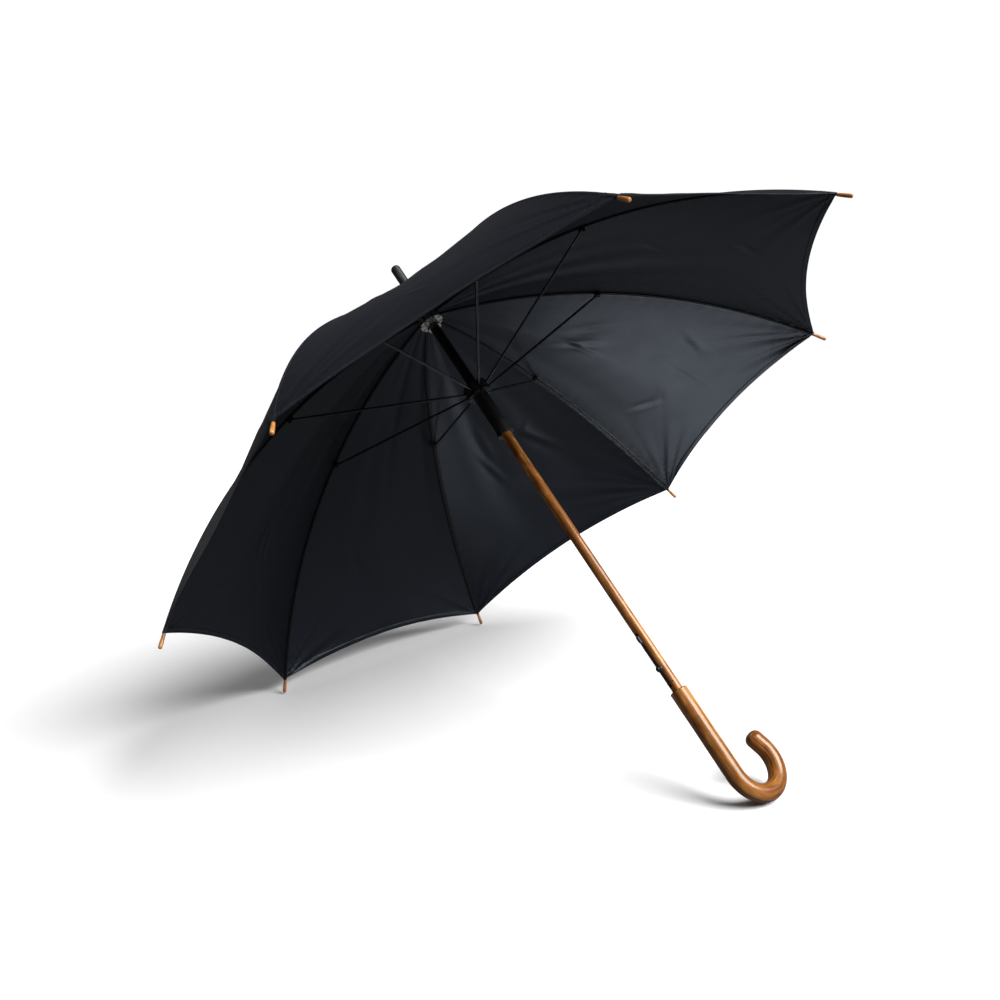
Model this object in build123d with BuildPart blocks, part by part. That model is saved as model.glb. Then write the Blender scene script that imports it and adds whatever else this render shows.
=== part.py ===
"""A stick umbrella: a wooden shaft with a crook handle, eight curved ribs with their stretchers,
a cloth canopy in eight petals, and the spring and catch that open it.

The frame stands the umbrella upright and open. Z runs up the shaft's axis to the ferrule, the crook
bends towards +X, and z = 0 is the crook's lowest point. Sizes are in mm.
"""

import os
from math import asin, atan2, cos, degrees, radians, sin

from build123d import *

# ---- driving dimensions ----
RIB_COUNT = 8
RIM_RADIUS = 515.0          # from the shaft's axis to the end of a rib tip
RIM_HEIGHT = 500.0          # height of the ends of the rib tips
HINGE_RADIUS = 15.4         # ring of rib hinges in the notch, and of stretcher ends in the runner
HINGE_HEIGHT = 780.7        # the rib hinges, in the notch
RIB_BEND = 724.0            # radius of the curve that each rib follows when the canopy is open
CLOSING_ANGLE = 59.5        # degrees that each rib turns to close

SHAFT_RADIUS = 7.0
SHAFT_BOTTOM = 96.0         # the shaft ends inside the handle
SHAFT_SHOULDER = 785.0      # the shaft steps down to its spigot here
SPIGOT_RADIUS = 5.4
SPIGOT_TOP = 845.0
BORE_RADIUS = 4.3           # bore for the opening spring

HANDLE_RADIUS = 11.5
HANDLE_TOP = 166.0
CROOK_RADIUS = 36.0         # centre line of the bend
CROOK_TURN = 202.5          # degrees
CROOK_TAIL = 21.0           # straight end of the crook

FERRULE_RADIUS = 6.9
FERRULE_TOP = 880.0

RIB_WIDTH = 3.2
RIB_DEPTH = 2.6
BLADE_THICKNESS = 1.5       # flattened ends that sit in the slots of the notch and the runner
EYE_RADIUS = 1.7
WIRE_RADIUS = 0.6
RUNNING_CLEARANCE = 0.06
SLOT_WIDTH = 2.2
SLOT_FLOOR = 12.0

JOINER_ARC = 240.0          # from the rib hinge to the joiner, along the rib
JOINER_DROP = 3.6           # the stretcher's pivot lies this far under the rib's centre line
RIVET_RADIUS = 0.8

SLEEVE_RADIUS = 10.5
SLEEVE_BOTTOM = 570.0
CROWN_RADIUS = 17.5
CROWN_HALF = 8.0            # half the height of the runner's crown

TIP_LENGTH = 18.5
TIP_RADIUS = 2.5
TIP_PEG = 10.0              # the rib's peg inside its tip

CLOTH_GAP = 2.6             # from the rib's centre line to the underside of the cloth
CLOTH_THICKNESS = 0.6
CLOTH_INNER_RADIUS = 8.5
PETAL_GAP = 0.15            # each petal stops this far short of the middle of a gore
HEM_DIP = 13.0              # in plan, the hem curves this far inside a straight line between tips

BUTTON_HEIGHT = 199.0
BUTTON_RADIUS = 3.0
CATCH_PIVOT = (-4.9, 178.0)  # x and z
CATCH_NOSE = (238.0, 246.0)  # z of the nose's lower and upper side
CATCH_THICKNESS = 3.6

# ---- the rib's curve, in the rib's own plane: r from the shaft's axis, z up ----
STEP = 360 / RIB_COUNT
hinge = Vector(HINGE_RADIUS, HINGE_HEIGHT)
tip_end = Vector(RIM_RADIUS, RIM_HEIGHT)
chord = tip_end - hinge
sagitta_arm = (RIB_BEND**2 - (chord.length / 2) ** 2) ** 0.5
outward = Vector(-chord.Y, chord.X) / chord.length
bend_centre = (hinge + tip_end) / 2 - outward * sagitta_arm
angle_hinge = asin((hinge.X - bend_centre.X) / RIB_BEND)
angle_tip = asin((tip_end.X - bend_centre.X) / RIB_BEND)


def on_rib(arc, offset=0.0):
    """The point (r, z) this far along the rib from its hinge, and this far above its centre line."""
    angle = angle_hinge + arc / RIB_BEND
    radius = RIB_BEND + offset
    return Vector(bend_centre.X + radius * sin(angle), bend_centre.Y + radius * cos(angle))


def across_rib(arc, origin=None):
    """A plane square to the rib, with its own y axis pointing out of the canopy."""
    angle = angle_hinge + arc / RIB_BEND
    at = bend_centre if origin is None else origin
    return Plane(origin=(at.X, 0, at.Y), x_dir=(0, 1, 0), z_dir=(cos(angle), 0, -sin(angle)))


rib_length = RIB_BEND * (angle_tip - angle_hinge)
rib_end = rib_length - TIP_LENGTH
bend_axis = Axis((bend_centre.X, 0, bend_centre.Y), (0, 1, 0))

# ---- the fold: hinge, joiner pivot and runner pivot make a triangle with two equal sides ----
joiner_pivot = on_rib(JOINER_ARC, -JOINER_DROP)
strut = (joiner_pivot - hinge).length
open_angle = atan2(hinge.Y - joiner_pivot.Y, joiner_pivot.X - hinge.X)
closed_angle = open_angle + radians(CLOSING_ANGLE)
runner_height = hinge.Y - 2 * strut * sin(open_angle)
runner_travel = 2 * strut * (sin(closed_angle) - sin(open_angle))
pin_height = runner_height - 14
slider_half = 8.0

os.makedirs("parts", exist_ok=True)


def save(shape, label):
    """Writes one named piece."""
    shape.label = label
    export_step(shape, f"parts/{label}.step")


def save_round(shape, label):
    """Writes one copy of a piece for each rib, turned to that rib's place."""
    for number in range(RIB_COUNT):
        save(shape.rotate(Axis.Z, STEP / 2 + STEP * number), f"{label}_{number + 1}")


# ---- shaft: a turned stick, bored for the spring and slotted for the runner pin and the catch ----
POCKET_WIDTH = 4.2
POCKET_BOTTOM, POCKET_TOP = 172.5, 251.0
POCKET_FLOOR = 0.4          # x of the pocket's back wall
HOUSING_RADIUS = 4.4
HOUSING_FLOOR = -5.0
bore_bottom = pin_height - runner_travel - slider_half - 3
bore_top = 812.0
slot_low = pin_height - runner_travel - 2
slot_high = pin_height + 2
PEG_RADIUS = 1.2
peg_height = runner_height + CROWN_HALF + PEG_RADIUS + 0.2
ANCHOR_HEIGHT = 802.0
SPRING_SEAT_HEIGHT = 222.0
SPRING_SEAT_RADIUS = 1.7
SPRING_SEAT_END = 4.0

with BuildPart() as shaft:
    with BuildSketch(Plane.XZ):
        with BuildLine():
            Polyline(
                (0, SHAFT_BOTTOM),
                (SHAFT_RADIUS, SHAFT_BOTTOM),
                (SHAFT_RADIUS, SHAFT_SHOULDER),
                (SPIGOT_RADIUS, SHAFT_SHOULDER),
                (SPIGOT_RADIUS, SPIGOT_TOP),
                (0, SPIGOT_TOP),
                close=True,
            )
        make_face()
    revolve(axis=Axis.Z)
    with Locations((0, 0, bore_bottom)):
        Cylinder(
            BORE_RADIUS, bore_top - bore_bottom,
            align=(Align.CENTER, Align.CENTER, Align.MIN), mode=Mode.SUBTRACT,
        )
    with Locations((0, 0, slot_low)):
        Box(
            SHAFT_RADIUS + 2, 2.4, slot_high - slot_low,
            align=(Align.MIN, Align.CENTER, Align.MIN), mode=Mode.SUBTRACT,
        )
    with Locations((POCKET_FLOOR, 0, POCKET_BOTTOM)):
        Box(
            SHAFT_RADIUS + 2, POCKET_WIDTH, POCKET_TOP - POCKET_BOTTOM,
            align=(Align.MAX, Align.CENTER, Align.MIN), mode=Mode.SUBTRACT,
        )
    with BuildSketch(Plane.YZ.offset(HOUSING_FLOOR)):
        with Locations((0, BUTTON_HEIGHT)):
            Circle(HOUSING_RADIUS)
    extrude(amount=-5, mode=Mode.SUBTRACT)
    with BuildSketch(Plane.YZ):
        with Locations((0, SPRING_SEAT_HEIGHT)):
            Circle(SPRING_SEAT_RADIUS)
    extrude(amount=SPRING_SEAT_END, mode=Mode.SUBTRACT)
    with BuildSketch(Plane.YZ.offset(-BORE_RADIUS + 0.5)):
        with Locations((0, peg_height)):
            Circle(PEG_RADIUS)
    extrude(amount=-5, mode=Mode.SUBTRACT)
    with BuildSketch(Plane.XZ):
        with Locations((0, ANCHOR_HEIGHT)):
            Circle(PEG_RADIUS)
        with Locations(CATCH_PIVOT):
            Circle(1.0)
    extrude(amount=SHAFT_RADIUS, both=True, mode=Mode.SUBTRACT)
save(shaft.part, "shaft")

# ---- crook handle: a bent stick, thicker than the shaft, bored to take the shaft's end ----
crook_centre = HANDLE_RADIUS + CROOK_RADIUS
with BuildPart() as crook_handle:
    with BuildLine(Plane.XZ) as crook_path:
        Line((0, HANDLE_TOP), (0, crook_centre))
        crook_bend = CenterArc((CROOK_RADIUS, crook_centre), CROOK_RADIUS, 180, CROOK_TURN)
        Line(crook_bend @ 1, crook_bend @ 1 + (crook_bend % 1) * CROOK_TAIL)
    with BuildSketch(Plane.XY.offset(HANDLE_TOP)):
        Circle(HANDLE_RADIUS)
    sweep(path=crook_path.line)
    end_faces = crook_handle.faces().filter_by(GeomType.PLANE).sort_by(Axis.Z)
    fillet(end_faces[0].edges(), 8)
    fillet(crook_handle.faces().filter_by(GeomType.PLANE).sort_by(Axis.Z)[-1].edges(), 2)
    with Locations((0, 0, HANDLE_TOP)):
        Hole(SHAFT_RADIUS, depth=HANDLE_TOP - SHAFT_BOTTOM)
save(crook_handle.part, "crook_handle")

# ---- crown cap and ferrule, above the cloth ----
CAP_TOP = SHAFT_SHOULDER + 2.2
with BuildPart() as crown_cap:
    with BuildSketch(Plane.XY.offset(SHAFT_SHOULDER + 0.2)):
        Circle(16)
        Circle(SPIGOT_RADIUS, mode=Mode.SUBTRACT)
    extrude(amount=CAP_TOP - SHAFT_SHOULDER - 0.2)
    chamfer(crown_cap.edges().filter_by(GeomType.CIRCLE).group_by(Axis.Z)[-1].sort_by(SortBy.RADIUS)[-1], 0.8)
save(crown_cap.part, "crown_cap")

with BuildPart() as ferrule:
    with BuildSketch(Plane.XZ):
        with BuildLine():
            Polyline(
                (0, CAP_TOP),
                (9.5, CAP_TOP),
                (9.5, CAP_TOP + 3),
                (FERRULE_RADIUS, CAP_TOP + 7),
                (FERRULE_RADIUS, FERRULE_TOP),
                (0, FERRULE_TOP),
                close=True,
            )
        make_face()
    revolve(axis=Axis.Z)
    fillet(ferrule.faces().sort_by(Axis.Z)[-1].edges(), 5)
    with Locations((0, 0, CAP_TOP)):
        Cylinder(
            SPIGOT_RADIUS, SPIGOT_TOP - CAP_TOP,
            align=(Align.CENTER, Align.CENTER, Align.MIN), mode=Mode.SUBTRACT,
        )
save(ferrule.part, "ferrule")

# ---- top notch and its wire: slots hold the rib eyes, and the wire runs through them ----
NOTCH_TOP = HINGE_HEIGHT + 1.1
NOTCH_RADIUS = 17.0
NOTCH_HEIGHT = 11.0
with BuildPart() as top_notch:
    with BuildSketch(Plane.XY.offset(NOTCH_TOP - NOTCH_HEIGHT)):
        Circle(NOTCH_RADIUS)
        Circle(SHAFT_RADIUS, mode=Mode.SUBTRACT)
        with PolarLocations(SLOT_FLOOR, RIB_COUNT, start_angle=STEP / 2):
            Rectangle(NOTCH_RADIUS, SLOT_WIDTH, align=(Align.MIN, Align.CENTER), mode=Mode.SUBTRACT)
    extrude(amount=NOTCH_HEIGHT)
    with BuildSketch(Plane.XY.offset(NOTCH_TOP - NOTCH_HEIGHT)):
        Circle(9.8)
        Circle(SHAFT_RADIUS, mode=Mode.SUBTRACT)
    extrude(amount=-9)
    with Locations((0, 0, HINGE_HEIGHT)):
        Torus(HINGE_RADIUS, WIRE_RADIUS, mode=Mode.SUBTRACT)
save(top_notch.part, "top_notch")

with BuildPart() as notch_wire:
    with Locations((0, 0, HINGE_HEIGHT)):
        Torus(HINGE_RADIUS, WIRE_RADIUS)
save(notch_wire.part, "notch_wire")

# ---- runner: a sleeve with a slotted crown, a window for the catch and a hole for its pin ----
RUNNER_WIRE_RADIUS = 12.9
nose_middle = sum(CATCH_NOSE) / 2
with BuildPart() as runner:
    with BuildSketch(Plane.XY.offset(SLEEVE_BOTTOM)):
        Circle(SLEEVE_RADIUS)
    extrude(amount=runner_height + CROWN_HALF - SLEEVE_BOTTOM)
    with BuildSketch(Plane.XY.offset(runner_height - CROWN_HALF)):
        Circle(CROWN_RADIUS)
        with PolarLocations(SLOT_FLOOR, RIB_COUNT, start_angle=STEP / 2):
            Rectangle(CROWN_RADIUS, SLOT_WIDTH, align=(Align.MIN, Align.CENTER), mode=Mode.SUBTRACT)
    extrude(amount=2 * CROWN_HALF)
    with BuildSketch(Plane.XY.offset(SLEEVE_BOTTOM)):
        Circle(SLEEVE_RADIUS + 1.2)
    extrude(amount=5)
    with BuildSketch(Plane.XY.offset(SLEEVE_BOTTOM)):
        Circle(SHAFT_RADIUS + RUNNING_CLEARANCE)
    extrude(amount=runner_height + CROWN_HALF - SLEEVE_BOTTOM, mode=Mode.SUBTRACT)
    with Locations((0, 0, runner_height)):
        Torus(RUNNER_WIRE_RADIUS, WIRE_RADIUS, mode=Mode.SUBTRACT)
    with Locations((-SHAFT_RADIUS, 0, nose_middle + runner_travel)):
        Box(10, 4.8, 11, mode=Mode.SUBTRACT)
    with BuildSketch(Plane.YZ.offset(SHAFT_RADIUS - 1)):
        with Locations((0, pin_height)):
            Circle(1.0)
    extrude(amount=2.6, mode=Mode.SUBTRACT)
save(runner.part, "runner")

with BuildPart() as runner_wire:
    with Locations((0, 0, runner_height)):
        Torus(RUNNER_WIRE_RADIUS, WIRE_RADIUS)
save(runner_wire.part, "runner_wire")

# ---- opening spring, its slider in the bore, the pin to the runner, the anchor and the stop peg ----
with BuildPart() as spring_slider:
    with BuildSketch(Plane.XY.offset(pin_height - slider_half)):
        Circle(BORE_RADIUS - RUNNING_CLEARANCE)
    extrude(amount=2 * slider_half)
    with BuildSketch(Plane.YZ):
        with Locations((0, pin_height)):
            Circle(1.0)
    extrude(amount=BORE_RADIUS + 1, mode=Mode.SUBTRACT)
save(spring_slider.part, "spring_slider")

with BuildPart() as runner_pin:
    with BuildSketch(Plane.YZ):
        with Locations((0, pin_height)):
            Circle(1.0)
    extrude(amount=SHAFT_RADIUS + 1.6)
save(runner_pin.part, "runner_pin")

spring_bottom = pin_height + slider_half + 1
with BuildPart() as opening_spring:
    with BuildLine():
        coil = Helix(pitch=5, height=ANCHOR_HEIGHT - PEG_RADIUS - 1 - spring_bottom, radius=3.1,
                     center=(0, 0, spring_bottom))
    with BuildSketch(Plane(origin=coil @ 0, z_dir=coil % 0)):
        Circle(0.6)
    sweep(is_frenet=True)
save(opening_spring.part, "opening_spring")

with BuildPart() as spring_anchor:
    with BuildSketch(Plane.XZ):
        with Locations((0, ANCHOR_HEIGHT)):
            Circle(PEG_RADIUS)
    extrude(amount=SPIGOT_RADIUS - 0.4, both=True)
save(spring_anchor.part, "spring_anchor")

with BuildPart() as stop_peg:
    with BuildSketch(Plane.YZ.offset(-BORE_RADIUS - 0.1)):
        with Locations((0, peg_height)):
            Circle(PEG_RADIUS)
    extrude(amount=-5)
    chamfer(stop_peg.faces().sort_by(Axis.X)[0].edges(), 0.3)
save(stop_peg.part, "stop_peg")

# ---- push button, its housing, and the sprung catch behind it ----
LEVER_OUTER = -6.2          # x of the lever's outer side
LEVER_INNER = -3.7
NOSE_TIP = -9.3
with BuildPart() as button_housing:
    with BuildSketch(Plane.YZ.offset(HOUSING_FLOOR)):
        with Locations((0, BUTTON_HEIGHT)):
            Circle(HOUSING_RADIUS)
            Circle(BUTTON_RADIUS + RUNNING_CLEARANCE, mode=Mode.SUBTRACT)
    extrude(amount=-3)
    with Locations((-6.6, 0, BUTTON_HEIGHT)):
        Box(4, POCKET_WIDTH, 12, align=(Align.MIN, Align.CENTER, Align.CENTER), mode=Mode.SUBTRACT)
save(button_housing.part, "button_housing")

with BuildPart() as push_button:
    with BuildSketch(Plane.YZ.offset(LEVER_OUTER - 0.25)):
        with Locations((0, BUTTON_HEIGHT)):
            Circle(BUTTON_RADIUS)
    extrude(amount=-4)
    fillet(push_button.faces().sort_by(Axis.X)[0].edges(), 0.9)
save(push_button.part, "push_button")

with BuildPart() as runner_catch:
    with BuildSketch(Plane.XZ):
        with BuildLine():
            Polyline(
                (LEVER_OUTER, CATCH_PIVOT[1]),
                (LEVER_OUTER, CATCH_NOSE[0] - 3),
                (NOSE_TIP, CATCH_NOSE[0] + 1),
                (NOSE_TIP, CATCH_NOSE[1]),
                (LEVER_INNER, CATCH_NOSE[1]),
                (LEVER_INNER, CATCH_PIVOT[1]),
                close=True,
            )
        make_face()
        with Locations(CATCH_PIVOT):
            Circle((LEVER_INNER - LEVER_OUTER) / 2 + 0.55)
            Circle(1.0 + RUNNING_CLEARANCE, mode=Mode.SUBTRACT)
    extrude(amount=CATCH_THICKNESS / 2, both=True)
save(runner_catch.part, "runner_catch")

with BuildPart() as catch_pin:
    with BuildSketch(Plane.XZ):
        with Locations(CATCH_PIVOT):
            Circle(1.0)
    extrude(amount=4.6, both=True)
save(catch_pin.part, "catch_pin")

with BuildPart() as catch_spring:
    with BuildLine():
        catch_coil = Helix(pitch=1.2, height=SPRING_SEAT_END - LEVER_INNER - 0.8, radius=1.2,
                           center=(LEVER_INNER + 0.4, 0, SPRING_SEAT_HEIGHT), direction=(1, 0, 0))
    with BuildSketch(Plane(origin=catch_coil @ 0, z_dir=catch_coil % 0)):
        Circle(0.25)
    sweep(is_frenet=True)
save(catch_spring.part, "catch_spring")

# ---- ribs: folded steel channels, open underneath, with a flat eye at the notch ----
BLADE_LENGTH = 14.0
blade_turn = degrees(BLADE_LENGTH / RIB_BEND)
channel_turn = degrees((rib_end - BLADE_LENGTH + 1) / RIB_BEND)
with BuildPart() as rib:
    with BuildSketch(across_rib(BLADE_LENGTH - 1)):
        with Locations((0, RIB_BEND)):
            Rectangle(RIB_WIDTH, RIB_DEPTH)
        with Locations((0, RIB_BEND - RIB_DEPTH / 2)):
            Rectangle(RIB_WIDTH - 1.4, RIB_DEPTH - 0.8, align=(Align.CENTER, Align.MIN), mode=Mode.SUBTRACT)
    revolve(axis=bend_axis, revolution_arc=channel_turn)
    with BuildSketch(across_rib(0)):
        with Locations((0, RIB_BEND)):
            Rectangle(BLADE_THICKNESS, RIB_DEPTH)
    revolve(axis=bend_axis, revolution_arc=blade_turn)
    with BuildSketch(Plane.XZ):
        with Locations((hinge.X, hinge.Y)):
            Circle(EYE_RADIUS)
    extrude(amount=BLADE_THICKNESS / 2, both=True)
    with BuildSketch(across_rib(rib_end - 2, on_rib(rib_end - 2))):
        Rectangle(RIB_WIDTH - 1.2, RIB_DEPTH - 0.8)
    extrude(amount=2)
    with BuildSketch(across_rib(rib_end, on_rib(rib_end))):
        Circle(1.0)
    extrude(amount=TIP_PEG)
    with BuildSketch(Plane.XZ):
        with Locations((hinge.X, hinge.Y)):
            Circle(WIRE_RADIUS + RUNNING_CLEARANCE)
    extrude(amount=BLADE_THICKNESS, both=True, mode=Mode.SUBTRACT)
save_round(rib.part, "rib")

# ---- rib tips: turned wooden beads pushed on to the ribs ----
with BuildPart() as rib_tip:
    with BuildSketch(across_rib(rib_end, on_rib(rib_end))):
        Circle(TIP_RADIUS - 0.4)
    with BuildSketch(across_rib(rib_end, on_rib(rib_end)).offset(TIP_LENGTH * 0.55)):
        Circle(TIP_RADIUS)
    loft()
    with BuildSketch(across_rib(rib_end, on_rib(rib_end)).offset(TIP_LENGTH * 0.55)):
        Circle(TIP_RADIUS)
    extrude(amount=TIP_LENGTH * 0.45)
    fillet(rib_tip.faces().sort_by(Axis.Z)[0].edges(), 1.8)
    with BuildSketch(across_rib(rib_end, on_rib(rib_end))):
        Circle(1.0)
    extrude(amount=TIP_PEG, mode=Mode.SUBTRACT)
save_round(rib_tip.part, "rib_tip")

# ---- rib joiners: a bracket folded over each rib, and the rivet that the stretcher turns on ----
JOINER_HALF = 4.0
CHEEK = 0.7
with BuildPart() as bracket:
    with BuildSketch(across_rib(JOINER_ARC, on_rib(JOINER_ARC)).offset(-JOINER_HALF)):
        with Locations((0, RIB_DEPTH / 2 + 0.5)):
            Rectangle(RIB_WIDTH + 2 * CHEEK, JOINER_DROP + RIB_DEPTH / 2 + 2.6, align=(Align.CENTER, Align.MAX))
        with Locations((0, RIB_DEPTH / 2)):
            Rectangle(RIB_WIDTH, 20, align=(Align.CENTER, Align.MAX), mode=Mode.SUBTRACT)
    extrude(amount=2 * JOINER_HALF)
    with BuildSketch(Plane.XZ):
        with Locations((joiner_pivot.X, joiner_pivot.Y)):
            Circle(RIVET_RADIUS)
    extrude(amount=RIB_WIDTH, both=True, mode=Mode.SUBTRACT)
with BuildPart() as rivet:
    with BuildSketch(Plane.XZ):
        with Locations((joiner_pivot.X, joiner_pivot.Y)):
            Circle(RIVET_RADIUS)
    extrude(amount=RIB_WIDTH / 2 + CHEEK, both=True)
    for side in (-1, 1):
        with BuildSketch(Plane.XZ.offset(side * (RIB_WIDTH / 2 + CHEEK))):
            with Locations((joiner_pivot.X, joiner_pivot.Y)):
                Circle(1.5)
        extrude(amount=side * 0.5)
save_round(Compound(children=[bracket.part, rivet.part]), "rib_joiner")

# ---- stretchers: straight channels from the runner to the joiners, with flat ends ----
STRETCHER_DEPTH = 2.6
STRETCHER_WIDTH = 2.4
STRETCHER_BLADE = 1.4
FLAT_END = 20.0
runner_pivot = Vector(HINGE_RADIUS, runner_height)
along_strut = (joiner_pivot - runner_pivot) / strut
strut_plane = Plane(
    origin=(runner_pivot.X, 0, runner_pivot.Y),
    x_dir=(along_strut.X, 0, along_strut.Y),
    z_dir=(0, -1, 0),
)
with BuildPart() as stretcher:
    with BuildSketch(strut_plane):
        with Locations((strut / 2, 0)):
            SlotCenterToCenter(strut, STRETCHER_DEPTH)
    extrude(amount=STRETCHER_BLADE / 2, both=True)
    with BuildSketch(strut_plane):
        with Locations((strut / 2, 0)):
            Rectangle(strut - 2 * FLAT_END, STRETCHER_DEPTH)
    extrude(amount=STRETCHER_WIDTH / 2, both=True)
    with BuildSketch(strut_plane):
        with Locations((strut / 2, -STRETCHER_DEPTH / 2)):
            Rectangle(strut - 2 * FLAT_END - 8, 1.4, align=(Align.CENTER, Align.MIN))
    extrude(amount=0.6, both=True, mode=Mode.SUBTRACT)
    with BuildSketch(strut_plane):
        with Locations((strut, 0)):
            Circle(RIVET_RADIUS + RUNNING_CLEARANCE)
        Circle(WIRE_RADIUS + RUNNING_CLEARANCE)
    extrude(amount=STRETCHER_BLADE, both=True, mode=Mode.SUBTRACT)
save_round(stretcher.part, "stretcher")

# ---- canopy petals: each is the cloth from the middle of one gore, over a rib, to the next middle ----
half_gore = radians(STEP / 2)
along_gore = Vector(-sin(half_gore), cos(half_gore), 0)


def cloth_band(low, high, start_angle, end_angle):
    """A strip in the rib's plane between two arcs, low and high above the rib's centre line."""
    centre = (bend_centre.X, bend_centre.Y)
    turn = degrees(end_angle - start_angle)
    with BuildSketch(Plane.XZ) as band:
        with BuildLine():
            under = CenterArc(centre, RIB_BEND + low, 90 - degrees(end_angle), turn)
            over = CenterArc(centre, RIB_BEND + high, 90 - degrees(end_angle), turn)
            Line(under @ 0, over @ 0)
            Line(under @ 1, over @ 1)
        make_face()
    return band.sketch


cloth_start = asin((CLOTH_INNER_RADIUS - bend_centre.X) / (RIB_BEND + CLOTH_GAP))
cloth_end = angle_hinge + (rib_end - 0.6) / RIB_BEND
gore_middle = Plane(
    origin=along_gore * -PETAL_GAP,
    x_dir=(cos(half_gore), sin(half_gore), 0),
    z_dir=along_gore,
)
petal_band = cloth_band(CLOTH_GAP, CLOTH_GAP + CLOTH_THICKNESS, cloth_start, cloth_end)
hem_radius = bend_centre.X + (RIB_BEND + CLOTH_GAP + CLOTH_THICKNESS) * sin(cloth_end) + 0.2
hem_corner = Vector(hem_radius, 0, 0)
next_corner = hem_corner.rotate(Axis.Z, STEP)
outwards = Vector(cos(half_gore), sin(half_gore), 0)
hem_middle = outwards * (hem_radius * cos(half_gore) - HEM_DIP)
with BuildPart() as petal:
    extrude(petal_band, amount=RIM_RADIUS * sin(half_gore) + 5, dir=along_gore)
    split(bisect_by=gore_middle, keep=Keep.BOTTOM)
    with BuildSketch():
        with BuildLine():
            ThreePointArc(hem_corner, hem_middle, next_corner)
            Polyline(next_corner, next_corner + outwards * 10, hem_corner + outwards * 10, hem_corner)
        make_face()
    extrude(amount=HINGE_HEIGHT, mode=Mode.SUBTRACT)
    mirror(about=Plane.XZ)
save_round(petal.part, "canopy")

# ---- tie strap and its snap, on the outside of one gore beside the first rib ----
STRAP_WIDTH = 18.0
STRAP_LENGTH = 150.0
STRAP_THICKNESS = 0.9
STRAP_ARC = rib_end - 60
strap_low = CLOTH_GAP + CLOTH_THICKNESS + 0.3
strap_start = angle_hinge + STRAP_ARC / RIB_BEND
first_rib = STEP / 2
strap_end = strap_start + STRAP_WIDTH / RIB_BEND
strap_band = cloth_band(strap_low, strap_low + STRAP_THICKNESS, strap_start, strap_end)
with BuildPart() as tie_strap:
    extrude(strap_band, amount=STRAP_LENGTH, dir=along_gore)
save(tie_strap.part.rotate(Axis.Z, first_rib), "tie_strap")

snap_foot = on_rib(STRAP_ARC + STRAP_WIDTH / 2, strap_low + STRAP_THICKNESS)
snap_angle = strap_start + STRAP_WIDTH / 2 / RIB_BEND
snap_normal = Vector(cos(snap_angle), 0, -sin(snap_angle)).cross(along_gore)
with BuildPart() as strap_snap:
    with BuildSketch(
        Plane(
            origin=Vector(snap_foot.X, 0, snap_foot.Y) + along_gore * (STRAP_LENGTH - 10) + snap_normal * 0.05,
            z_dir=snap_normal,
        )
    ):
        Circle(5.5)
    extrude(amount=1.8)
    fillet(strap_snap.faces().sort_by(Axis.Z)[-1].edges(), 0.8)
save(strap_snap.part.rotate(Axis.Z, first_rib), "strap_snap")
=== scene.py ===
from math import asin, cos, hypot, pi, radians, sin

import bpy
import numpy as np
from mathutils import Matrix, Vector, noise


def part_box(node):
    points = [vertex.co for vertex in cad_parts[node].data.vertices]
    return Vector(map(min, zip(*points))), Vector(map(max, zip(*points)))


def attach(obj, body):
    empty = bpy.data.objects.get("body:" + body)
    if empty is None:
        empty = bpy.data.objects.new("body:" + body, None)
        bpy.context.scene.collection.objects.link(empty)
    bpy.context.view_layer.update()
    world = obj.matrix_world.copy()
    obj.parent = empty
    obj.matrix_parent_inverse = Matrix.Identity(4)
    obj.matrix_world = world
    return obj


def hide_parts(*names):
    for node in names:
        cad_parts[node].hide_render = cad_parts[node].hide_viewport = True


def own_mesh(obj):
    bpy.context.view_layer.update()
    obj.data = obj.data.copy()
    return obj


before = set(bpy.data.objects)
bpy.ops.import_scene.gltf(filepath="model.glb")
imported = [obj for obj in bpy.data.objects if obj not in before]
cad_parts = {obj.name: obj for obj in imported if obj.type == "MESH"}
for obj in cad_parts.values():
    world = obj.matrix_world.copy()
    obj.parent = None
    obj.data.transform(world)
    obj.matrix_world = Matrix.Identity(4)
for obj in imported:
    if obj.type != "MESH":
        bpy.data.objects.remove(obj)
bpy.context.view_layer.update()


# ---------------------------------------------------------------- shaft
# A turned hardwood stick, stained a warm orange-brown and varnished. It runs from inside the
# handle to the ferrule, and is slotted for the runner pin and the catch. The length that the
# canopy hides is painted black, as painted shade under the canopy.

def add_node(tree, kind, values=(), **settings):
    """A shader node: settings are its properties, and values are its inputs, by name or by place."""
    node = tree.nodes.new(kind)
    for key, value in settings.items():
        setattr(node, key, value)
    for key, value in dict(values).items():
        if isinstance(value, bpy.types.NodeSocket):
            tree.links.new(value, node.inputs[key])
        else:
            node.inputs[key].default_value = value
    return node


def new_finish(name, constants):
    """A material and its shader, with the constants set on the shader's own sockets."""
    material = bpy.data.materials.new(name)
    material.use_nodes = True
    surface = material.node_tree.nodes["Principled BSDF"]
    for key, value in constants.items():
        surface.inputs[key].default_value = value
    return material, material.node_tree, surface


def colour_steps(tree, factor, stops):
    """Colours blended along a factor; stops are (place, colour) pairs."""
    ramp = add_node(tree, "ShaderNodeValToRGB", {0: factor})
    for number, (place, colour) in enumerate(stops):
        if number < 2:
            stop = ramp.color_ramp.elements[number]
            stop.position = place
        else:
            stop = ramp.color_ramp.elements.new(place)
        stop.color = (*colour, 1)
    return ramp.outputs["Color"]


def maths(tree, operation, first, second=0.0, third=0.0):
    """One sum on a factor."""
    node = add_node(tree, "ShaderNodeMath", {0: first, 1: second, 2: third}, operation=operation)
    return node.outputs[0]


def scaled(tree, coordinates, scale):
    """Coordinates stretched or squeezed along X, Y and Z, to draw a pattern out in one direction."""
    return add_node(tree, "ShaderNodeMapping", {"Vector": coordinates, "Scale": scale}).outputs[0]


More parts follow.
